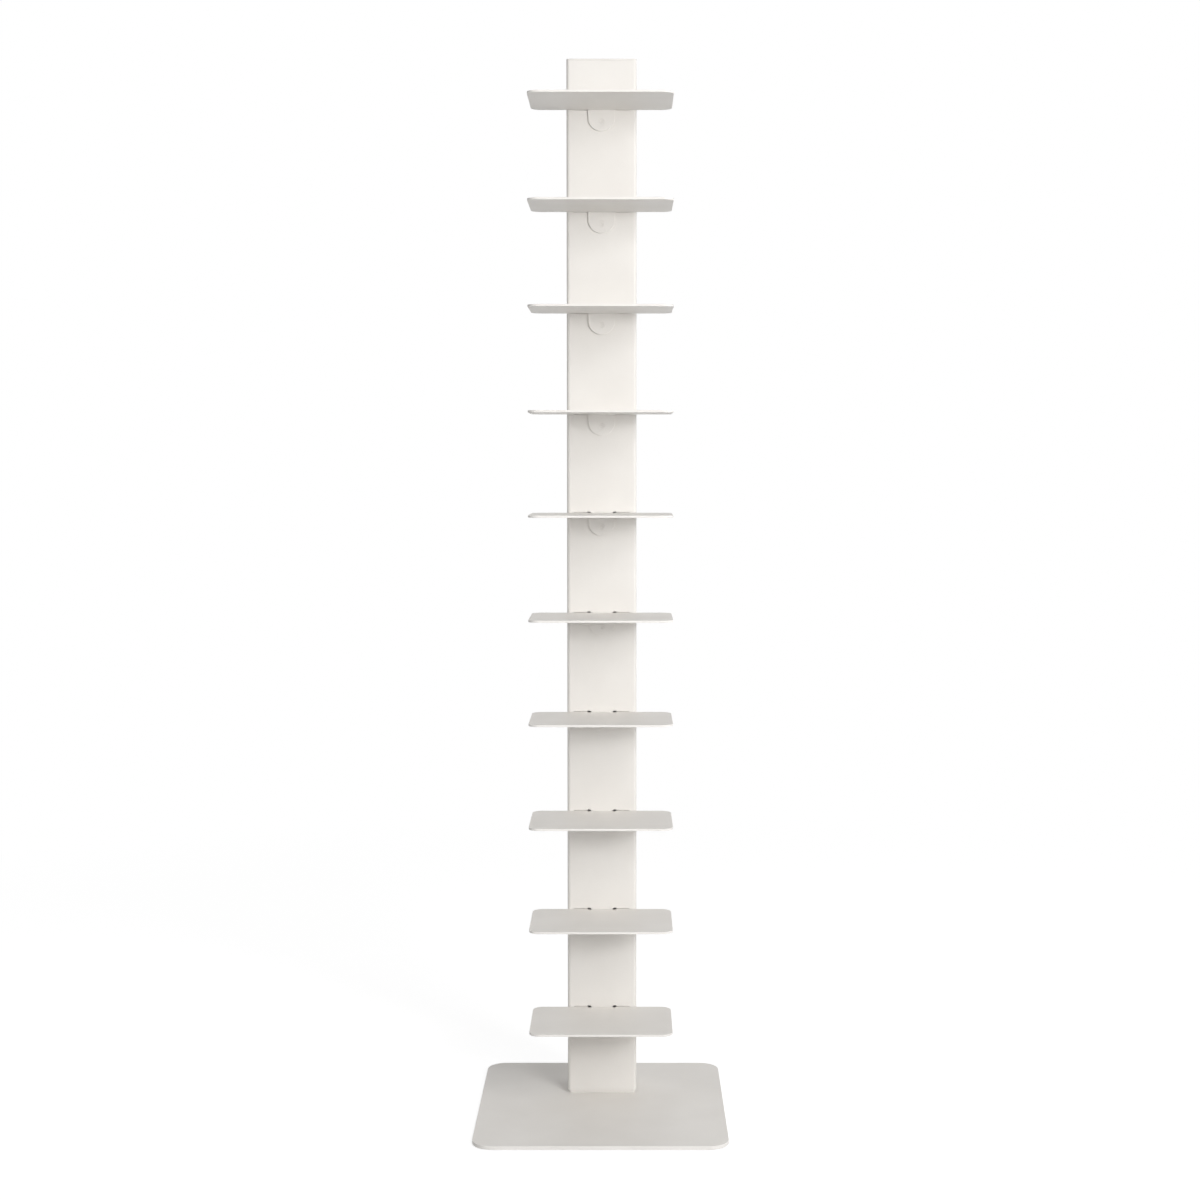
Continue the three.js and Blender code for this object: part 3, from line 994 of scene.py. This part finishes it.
@dataclass(frozen=True)
class Fastener:
    """Countersunk screw or bolt with a hexagon socket, from its head's flat face to its tip."""

    shank: float
    head: float
    rim: float
    socket_across_flats: float
    socket_depth: float
    edge_ease: float = 0.12 * MM
    tip_chamfer: float = 0.5 * MM
    mouth_chamfer: float = 0.15 * MM

    def shell(self, length: float, basis: Basis) -> Shell:
        """Makes the fastener with its head's face in a plane, looking out of it.

        The body is a profile of rim, cone, shank and tip carried round a circle, and the socket a profile
        of mouth and wall carried round a hexagon.

        Args:
            length: Length from the head's face to the tip.
            basis: The plane of the head's face.

        Returns:
            The closed shell.
        """
        shell = Shell()
        cone = self.head - self.shank
        body = np.concatenate([
            [[-LEAD, 0.0]],
            quarter_ease(0.0, 0.0, self.edge_ease, Facing.OUT),
            [
                [0.0, -self.rim],
                [-cone, -self.rim - cone],
                [-cone, self.tip_chamfer - length],
                [-cone - self.tip_chamfer, -length],
                [-LEAD, -length],
            ],
        ])
        socket = np.array([
            [-LEAD, 0.0],
            [-self.mouth_chamfer, 0.0],
            [0.0, -self.mouth_chamfer],
            [0.0, -self.socket_depth],
            [LEAD, -self.socket_depth],
        ])
        corner_radius = self.socket_across_flats / 2.0 / math.cos(math.pi / HEX_SIDES)
        outside = shell.sweep(Outline.circle(self.head), body, basis)
        inside = shell.sweep(Outline.circle(corner_radius, steps=HEX_SIDES).reversed(), socket, basis)
        shell.fill([outside[0], inside[0]], basis, Facing.OUT)
        shell.fill([inside[-1]], basis, Facing.OUT)
        shell.fill([outside[-1]], basis, Facing.BACK)
        return shell


@dataclass
class Base(Assembly):
    """The square base plate, its floor pads, the column's foot plate and the bolts through both plates."""

    plate_radius: float = 28.0 * MM
    plate_ease: float = 0.5 * MM
    foot_radius: float = 3.0 * MM
    foot_ease: float = 0.3 * MM
    hole_radius: float = 3.3 * MM
    hole_ease: float = 0.15 * MM
    mouth: Mouth = Mouth(widening=2.5 * MM, depth=0.8 * MM)
    pad_ease: float = 0.3 * MM
    bolt: Fastener = Fastener(
        shank=3.0 * MM, head=5.5 * MM, rim=0.4 * MM, socket_across_flats=4.0 * MM, socket_depth=1.8 * MM)

    def build(self) -> None:
        """Makes the plates, the bolts and the pads where the frame has them."""
        self.plate("base_plate", self.plate_radius, self.plate_ease, self.mouth)
        self.plate("column_foot_plate", self.foot_radius, self.foot_ease, None)
        for node in self.bolts:
            box = Box.of(node)
            head = Basis((box.middle.x, box.middle.y, box.low.z), RIGHT, FRONT)
            self.add(self.bolt.shell(box.size.z, head), node, Slot.ZINC_PLATE)
        for node in numbered("floor_pad", CORNERS):
            self.pad(node)

    @property
    def bolts(self) -> list[str]:
        """Names of the bolts' CAD nodes."""
        return numbered("base_bolt", CORNERS)

    def plate(self, node: str, radius: float, ease: float, mouth: Mouth | None) -> None:
        """Makes a level plate with round corners and a hole for each bolt.

        Args:
            node: The CAD node of the plate.
            radius: Radius of its corners.
            ease: Radius of its eased edges.
            mouth: The mouth of its holes, if they are countersunk from below.
        """
        box = Box.of(node)
        basis = Basis.level(z=box.middle.z)
        shell = Shell()
        outline = Outline.rounded(box.size.x, box.size.y, radius, box.middle.x, box.middle.y)
        grids = [shell.sweep(outline, sheet_edge(box.size.z, ease), basis)]
        bore = sheet_edge(box.size.z, self.hole_ease, mouth)
        for bolt in self.bolts:
            at = Box.of(bolt).middle
            grids.append(shell.sweep(Outline.circle(self.hole_radius, at.x, at.y).reversed(), bore, basis))
        shell.fill_both(grids, basis)
        self.add(shell, node, Slot.POWDER_COAT)

    def pad(self, node: str) -> None:
        """Makes one round floor pad with eased edges.

        Args:
            node: The CAD node of the pad.
        """
        box = Box.of(node)
        basis = Basis.level(*box.middle)
        shell = Shell()
        edge = sheet_edge(box.size.z, self.pad_ease)
        shell.fill_both([shell.sweep(Outline.circle(box.size.x / 2.0), edge, basis)], basis)
        self.add(shell, node, Slot.PAD_RUBBER)


@dataclass
class Column(Assembly):
    """The rectangular tube with its hook slots and insert holes, its cap and its screw inserts."""

    shelf_tops: list[float]
    wall: float = 2.0 * MM
    corner_radius: float = 5.0 * MM
    end_ease: float = 0.3 * MM
    slot_inner_x: float = 15.5 * MM
    slot_outer_x: float = 40.0 * MM
    slot_below: float = 3.3 * MM
    slot_above: float = 0.9 * MM
    notch_x: float = 21.0 * MM
    notch_above: float = 1.6 * MM
    slot_radius: float = 1.0 * MM
    slot_ease: float = 0.3 * MM
    insert_hole_radius: float = 3.55 * MM
    lid_thickness: float = 3.0 * MM
    lid_top_ease: float = 0.8 * MM
    lid_under_ease: float = 0.25 * MM
    rim_gap: float = 0.3 * MM
    rim_wall: float = 3.0 * MM
    rim_ease: float = 0.4 * MM
    rim_bore_radius: float = 1.5 * MM

    def build(self) -> None:
        """Makes the tube and the cap where the frame has them."""
        self.add(self.tube(), "column", Slot.POWDER_COAT)
        self.add(self.cap(), "top_cap", Slot.CAP_PLASTIC)

    def wall_profile(self, height: float) -> np.ndarray:
        """Closed profile of the tube's wall: down its outer skin, up its inner skin, round at both ends.

        Args:
            height: Height of the tube.

        Returns:
            Points (outward, height) whose first segment is the outer skin.
        """
        top = quarter_ease(0.0, height, self.end_ease, Facing.OUT)
        bottom = quarter_ease(0.0, 0.0, self.end_ease, Facing.BACK)
        outer = np.concatenate([top, bottom])
        inner = (outer * MIRROR - (self.wall, 0.0))[::-1]
        last = len(top) - 1
        return np.concatenate([outer[last:], inner, outer[:last]])

    def tube(self) -> Shell:
        """Makes the tube: its wall's profile carried round, and its front filled round the slots.

        The front stretch of both skins is left out of the strip, and filled as two flat faces. The inner
        skin is the longest segment of the profile but the first.

        Returns:
            The closed shell.
        """
        box = Box.of("column")
        shell = Shell()
        way = Outline.rounded(box.size.x, box.size.y, self.corner_radius, box.middle.x, box.middle.y)
        profile = self.wall_profile(box.size.z)
        inner = int(np.argmax(np.linalg.norm(np.diff(profile, axis=0)[1:], axis=1))) + 1
        front = len(way.points) - 1
        left_out = [(0, front), (inner, front)]
        grid = shell.sweep(way, profile, Basis.level(z=box.low.z), closed=True, left_out=left_out)
        basis = Basis((0.0, box.low.y + self.wall / 2.0, 0.0), RIGHT, UP)
        rim_profile = sheet_edge(self.wall, self.slot_ease)
        rims = [shell.sweep(opening.reversed(), rim_profile, basis) for opening in self.openings()]
        for row, rim_row, facing in ((0, 0, Facing.OUT), (inner, -1, Facing.BACK)):
            ring = np.array([grid[row, front], grid[row + 1, front], grid[row + 1, 0], grid[row, 0]])
            shell.fill([ring, *(rim[rim_row] for rim in rims)], basis, facing)
        return shell

    def slots(self, top: float) -> list[Outline]:
        """The two hook slots of one shelf.

        Each is low over the hook, with small arcs at its outer corners, and its inner end is a taller,
        half-round notch beside the hook.

        Args:
            top: Height of the shelf's top face.

        Returns:
            The right slot's outline as (right, up), and its mirror image for the left one.
        """
        radius = self.slot_radius
        bottom = top - self.slot_below
        over_hook = top + self.slot_above
        notch_radius = (self.notch_above + self.slot_below) / 2.0
        outer = self.slot_outer_x - radius
        right = np.concatenate([
            arc(outer, bottom + radius, radius, -QUARTER, 0.0, SLOT_CORNER_STEPS),
            arc(outer, over_hook - radius, radius, 0.0, QUARTER, SLOT_CORNER_STEPS),
            [[self.notch_x, over_hook], [self.notch_x, top + self.notch_above]],
            arc(self.slot_inner_x + notch_radius, bottom + notch_radius, notch_radius,
                QUARTER, 3.0 * QUARTER, SLOT_END_STEPS),
        ])
        return [Outline(right), Outline(right[::-1] * MIRROR)]

    def openings(self) -> list[Outline]:
        """The openings in the tube's front wall.

        Returns:
            The outlines, as (right, up), of the two slots and the insert hole at each shelf.
        """
        outlines = []
        for top in self.shelf_tops:
            outlines += self.slots(top)
            hole = Outline.circle(self.insert_hole_radius, 0.0, top - SCREW_DROP, SMALL_ROUND_STEPS)
            outlines.append(hole)
        return outlines

    def cap(self) -> Shell:
        """Makes the cap: a lid with an eased edge, and a plug rim below it that is open from below.

        Returns:
            The closed shell.
        """
        box = Box.of("top_cap")
        width, depth, height = box.size
        inset = 2.0 * (self.wall + self.rim_gap)
        hollow = inset + 2.0 * self.rim_wall
        rim_radius = self.corner_radius - self.wall
        rim_drop = height - self.lid_thickness
        basis = Basis.level(box.middle.x, box.middle.y, box.high.z - self.lid_thickness)
        shell = Shell()
        lid_profile = edge_profile(self.lid_thickness, 0.0, self.lid_top_ease, self.lid_under_ease)
        rim_profile = np.concatenate([
            [[LEAD, 0.0], [0.0, 0.0]],
            quarter_ease(0.0, -rim_drop, self.rim_ease, Facing.BACK),
            [[-LEAD, -rim_drop]],
        ])
        lid = shell.sweep(Outline.rounded(width, depth, self.corner_radius), lid_profile, basis)
        rim = shell.sweep(Outline.rounded(width - inset, depth - inset, rim_radius), rim_profile, basis)
        bore_outline = Outline.rounded(width - hollow, depth - hollow, self.rim_bore_radius)
        bore = shell.sweep(bore_outline.reversed(), rim_profile, basis)
        shell.fill([lid[0]], basis, Facing.OUT)
        for rings in ([lid[-1], rim[0]], [rim[-1], bore[-1]], [bore[0]]):
            shell.fill(rings, basis, Facing.BACK)
        return shell

    def dress(self, coats: Finishes) -> None:
        """Gives the tube and the cap their finishes, and the inserts' CAD nodes bright zinc.

        Args:
            coats: The material for each slot.
        """
        super().dress(coats)
        for node in numbered("screw_insert", len(self.shelf_tops)):
            materials = bpy.data.objects[node].data.materials
            materials.clear()
            materials.append(coats[Slot.ZINC_PLATE])


@dataclass
class Shelf(Assembly):
    """One shelf: a bent sheet that hangs by two hooks in the column's slots, and its tab's screw."""

    number: int
    sheet: float = 3.0 * MM
    corner_radius: float = 15.0 * MM
    bend_radius: float = 1.5 * MM
    tab_half: float = 19.0 * MM
    tab_drop: float = 33.0 * MM
    hole_radius: float = 2.3 * MM
    mouth: Mouth = Mouth(widening=1.5 * MM, depth=0.75 * MM)
    slit_width: float = 0.6 * MM
    slit_past_bend: float = 0.5 * MM
    hook_inner_x: float = 21.0 * MM
    hook_outer_x: float = 39.0 * MM
    hook_front: float = 2.3 * MM
    edge_ease: float = 0.35 * MM
    hole_ease: float = 0.12 * MM
    screw: Fastener = Fastener(
        shank=2.0 * MM, head=3.5 * MM, rim=0.25 * MM, socket_across_flats=2.5 * MM, socket_depth=1.2 * MM)

    @property
    def node(self) -> str:
        """Name of the shelf's CAD node."""
        return f"shelf_{self.number:02d}"

    @property
    def top(self) -> float:
        """Height of the shelf's top face."""
        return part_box(self.node)[0].z + self.tab_drop

    @property
    def face(self) -> float:
        """Place of the column's front face, where the sheet ends."""
        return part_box("column")[0].y

    @property
    def reach(self) -> float:
        """How far the tab's bend stands out from the column."""
        return self.bend_radius + self.sheet

    @property
    def folds(self) -> FoldedSheet:
        """The tab's bend down against the column and the hooks' bend up behind its wall.

        Returns:
            Both bends, and where they divide.
        """
        middle_radius = self.bend_radius + self.sheet / 2.0
        tab = Bend(-self.reach, middle_radius, False)
        hooks = Bend(self.hook_front - self.bend_radius, middle_radius, True)
        return FoldedSheet(tab, hooks, self.tab_half + self.slit_width / 2.0)

    def along_tab(self, drop: float) -> float:
        """Place along the flat sheet of what ends up a drop below the shelf's top face."""
        return self.folds.tab.stations[-1] + drop - self.reach

    def build(self) -> None:
        """Makes the bent sheet and its screw where the frame has them."""
        self.add(self.bent_sheet(), self.node, Slot.POWDER_COAT)
        node = f"shelf_screw_{self.number:02d}"
        box = Box.of(node)
        head = Basis((box.middle.x, box.low.y, box.middle.z), RIGHT, UP)
        self.add(self.screw.shell(box.size.y, head), node, Slot.POWDER_COAT)

    def outline(self) -> tuple[Outline, np.ndarray]:
        """The flat sheet's outline, as (across, along) from the column's face, and its bends' links.

        The right half runs round the two corners, out and back along the hook, into the slit, and down the
        tab's side and round end. The left half is its mirror image in the other order.

        Returns:
            The outline, and the pairs of its points that lie across from each other at each step of a bend.
        """
        low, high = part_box(self.node)
        depth = self.face - low.y
        radius = self.corner_radius
        folds = self.folds
        hook_end = folds.hooks.stations[-1] + (high.z - self.top) - self.bend_radius
        hook_side = np.array([0.0, *folds.hooks.stations, hook_end])
        tab_side = folds.tab.stations
        tab_end = self.along_tab(self.tab_drop)
        slit_end = folds.tab.start - self.slit_past_bend
        slit_outer = self.tab_half + self.slit_width
        parts = [
            arc(high.x - radius, radius - depth, radius, -QUARTER, 0.0, CORNER_STEPS),
            arc(high.x - radius, -radius, radius, 0.0, QUARTER, CORNER_STEPS),
            np.stack([np.full(len(hook_side), self.hook_outer_x), hook_side], axis=1),
            np.stack([np.full(len(hook_side), self.hook_inner_x), hook_side[::-1]], axis=1),
            np.array([[slit_outer, 0.0], [slit_outer, slit_end], [self.tab_half, slit_end]]),
            np.stack([np.full(len(tab_side), self.tab_half), tab_side], axis=1),
            arc(0.0, tab_end - self.tab_half, self.tab_half, 0.0, QUARTER, ROUND_STEPS // 4),
        ]
        starts = np.cumsum([0] + [len(part) for part in parts])
        right = np.concatenate(parts)
        left = right[-2::-1] * MIRROR
        last = len(right) + len(left) - 1
        # The bends' points, by their places in the parts: out along the hook, back along it, down the tab
        steps = np.arange(BEND_STEPS + 1)
        up = starts[2] + 1 + steps
        down = starts[4] - 2 - steps
        side = starts[5] + steps
        pairs = [(up, down), (last - up, last - down), (side, last - side)]
        links = np.concatenate([np.stack(pair, axis=1) for pair in pairs])
        return Outline(np.concatenate([right, left])), links

    def bent_sheet(self) -> Shell:
        """Makes the sheet flat, with its eased edge and its countersunk hole, and folds it.

        Returns:
            The closed shell in its place.
        """
        flat = Basis.level()
        shell = Shell()
        outline, links = self.outline()
        hole = Outline.circle(self.hole_radius, 0.0, self.along_tab(SCREW_DROP)).reversed()
        grids = [
            shell.sweep(outline, sheet_edge(self.sheet, self.edge_ease), flat),
            shell.sweep(hole, sheet_edge(self.sheet, self.hole_ease, self.mouth), flat),
        ]
        shell.fill_both(grids, flat, links)
        shell.fold(self.folds, (0.0, self.face, self.top - self.sheet / 2.0))
        return shell


@dataclass(frozen=True)
class SoftBox:
    """A rectangular lamp with an even face, in metres and watts.

    It lights everything, or only the objects that it names, and gloss shows it or not.
    """

    name: str
    place: Place
    size: tuple[float, float]
    power: float
    aim: Place = MIDDLE
    glossy: bool = True
    only: tuple[str, ...] = ()

    def build(self) -> None:
        """Makes the lamp and turns it to what it lights."""
        lamp = bpy.data.lights.new(self.name, "AREA")
        lamp.shape = "RECTANGLE"
        lamp.size, lamp.size_y = self.size
        lamp.energy = self.power
        thing = bpy.data.objects.new(self.name, lamp)
        thing.location = self.place
        toward = Vector(self.aim) - Vector(self.place)
        thing.rotation_euler = toward.to_track_quat("-Z", "Y").to_euler()
        thing.visible_glossy = self.glossy
        bpy.context.scene.collection.objects.link(thing)
        if self.only:
            lit = bpy.data.collections.new(f"{self.name}_lights")
            for name in self.only:
                lit.objects.link(bpy.data.objects[name])
            thing.light_linking.receiver_collection = lit


@dataclass
class Studio:
    """A plain pale floor, a white surround and soft lamps.

    The key lamps stand to the front right, and the lamp behind lights the column and its cap alone.
    """

    floor_half: float = 30.0
    floor_gap: float = 0.1 * MM
    floor_tone: float = 0.80
    ambient: float = 0.30
    seen_floor_glow: float = 0.83
    seen_floor_share: float = 0.35
    shadow_inner: float = 0.7
    shadow_outer: float = 2.2
    lamps: tuple[SoftBox, ...] = (
        SoftBox("key_softbox", (1.35, -2.2, 1.75), (1.1, 1.3), power=34.0, aim=ABOVE_MIDDLE, glossy=False),
        SoftBox("key_strip", (1.5, -2.4, 1.2), (1.1, 0.6), power=31.0, aim=ABOVE_MIDDLE, glossy=False),
        SoftBox("key_top_softbox", (1.2, -2.0, 2.4), (1.2, 1.2), power=4.0),
        SoftBox("left_softbox", (-2.8, -0.6, 1.4), (1.6, 2.0), power=6.0),
        SoftBox("back_right_softbox", (2.2, 2.2, 1.4), (1.4, 1.6), power=3.0),
        SoftBox("overhead_softbox", (0.0, -0.6, 3.3), (2.0, 2.0), power=3.0),
        SoftBox("crown_softbox", (0.0, 0.25, 2.4), (0.5, 0.5), power=2.5, aim=BELOW_MIDDLE),
        SoftBox("back_softbox", (0.0, 3.0, 1.2), (1.6, 1.6), power=26.0, only=BACK_LIT),
    )

    def build(self) -> None:
        """Sets up the floor, the world and the lamps."""
        self.build_floor()
        self.build_world()
        for lamp in self.lamps:
            lamp.build()
        LOG.info("studio: floor, white surround and %d lamps", len(self.lamps))

    def end_by_ray(self, bench: Bench, kind: str, hidden: Feed, seen: Feed) -> None:
        """Ends a bench with an output that gets one of two shaders by the kind of ray.

        Rays from the camera, from gloss and through glass get the shader that is seen, and other rays the
        hidden one.

        Args:
            bench: The nodes of a material or a world.
            kind: Kind of the output node.
            hidden: Shader for rays that only carry light.
            seen: Shader for rays that see the thing.
        """
        rays = bench.node("ShaderNodeLightPath", {}).outputs
        share = rays["Is Camera Ray"]
        for name in ("Is Glossy Ray", "Is Transmission Ray"):
            share = bench.combine("MAXIMUM", share, rays[name])
        bench.node(kind, {"Surface": bench.mix(share, hidden, seen)})

    def build_floor(self) -> None:
        """Makes the floor: a pale matt plane that lights the object from below and shows its shadow."""
        half = self.floor_half
        corners = [(-half, -half), (half, -half), (half, half), (-half, half)]
        mesh = bpy.data.meshes.new("studio_floor")
        mesh.from_pydata([(x, y, -self.floor_gap) for x, y in corners], [], [range(len(corners))])
        floor = bpy.data.objects.new("studio_floor", mesh)
        bpy.context.scene.collection.objects.link(floor)
        mesh.materials.append(self.floor_material())

    def floor_material(self) -> bpy.types.Material:
        """Sets out the floor's nodes.

        Rays that see the floor get its lit colour at a share plus a glow, so that it is white where nothing
        shades it, and pure white further out. Other rays get plain matt paint.

        Returns:
            The material.
        """
        material = bpy.data.materials.new("studio_floor_white")
        bench = Bench.clear(material)
        lit, paint = (
            bench.node("ShaderNodeBsdfDiffuse", {"Color": (tone, tone, tone)}).outputs[0]
            for tone in (self.seen_floor_share, self.floor_tone)
        )
        glow, white = (
            bench.node("ShaderNodeEmission", {"Color": WHITE, "Strength": strength}).outputs[0]
            for strength in (self.seen_floor_glow, 1.0)
        )
        near = bench.node("ShaderNodeAddShader", {0: lit, 1: glow}).outputs[0]
        reach = bench.node("ShaderNodeVectorMath", {0: bench.coordinates()}, operation="LENGTH")
        fade = bench.spread(reach.outputs["Value"], (self.shadow_inner, self.shadow_outer), UNIT_RANGE)
        self.end_by_ray(bench, "ShaderNodeOutputMaterial", paint, bench.mix(fade, near, white))
        return material

    def build_world(self) -> None:
        """Makes the surround: white where it is seen directly, and an even soft light for the rest."""
        world = bpy.data.worlds.new("white_surround")
        bench = Bench.clear(world)
        hidden, seen = (
            bench.node("ShaderNodeBackground", {"Color": WHITE, "Strength": strength}).outputs[0]
            for strength in (self.ambient, 1.0)
        )
        self.end_by_ray(bench, "ShaderNodeOutputWorld", hidden, seen)
        bpy.context.scene.world = world


@dataclass(frozen=True)
class PhotoCamera:
    """The photograph's view: from the front, a little to the right, at a height between shelves 4 and 5."""

    place: Place = (0.0334, -2.660, 0.9349)
    down: float = math.radians(2.906)
    lens: float = 56.28
    sensor: float = 36.0
    shift_x: float = -0.0208
    shift_y: float = -0.04

    def build(self) -> None:
        """Makes the camera and hands the scene to it."""
        camera = bpy.data.cameras.new("photo_camera")
        camera.lens = self.lens
        camera.sensor_width = self.sensor
        camera.shift_x = self.shift_x
        camera.shift_y = self.shift_y
        camera.dof.use_dof = False
        thing = bpy.data.objects.new("photo_camera", camera)
        thing.location = self.place
        thing.rotation_euler = (QUARTER - self.down, 0.0, 0.0)
        bpy.context.scene.collection.objects.link(thing)
        bpy.context.scene.camera = thing
        LOG.info("camera: %.2f m in front, %.2f m up", -self.place[1], self.place[2])


def main() -> None:
    """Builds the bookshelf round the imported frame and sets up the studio."""
    logging.basicConfig(level=logging.INFO, format="%(name)s %(message)s")
    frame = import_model()
    PhotoCamera().build()
    coats = finishes()
    count = sum(name.startswith("shelf_screw_") for name in frame["nodes"])
    shelves = [Shelf(number) for number in range(1, count + 1)]
    column = Column([shelf.top for shelf in shelves])
    for assembly in (Base(), column, *shelves):
        assembly.build()
        assembly.dress(coats)
    Studio().build()
    bpy.context.scene.view_settings.view_transform = "Standard"


if __name__ == "__main__":
    main()
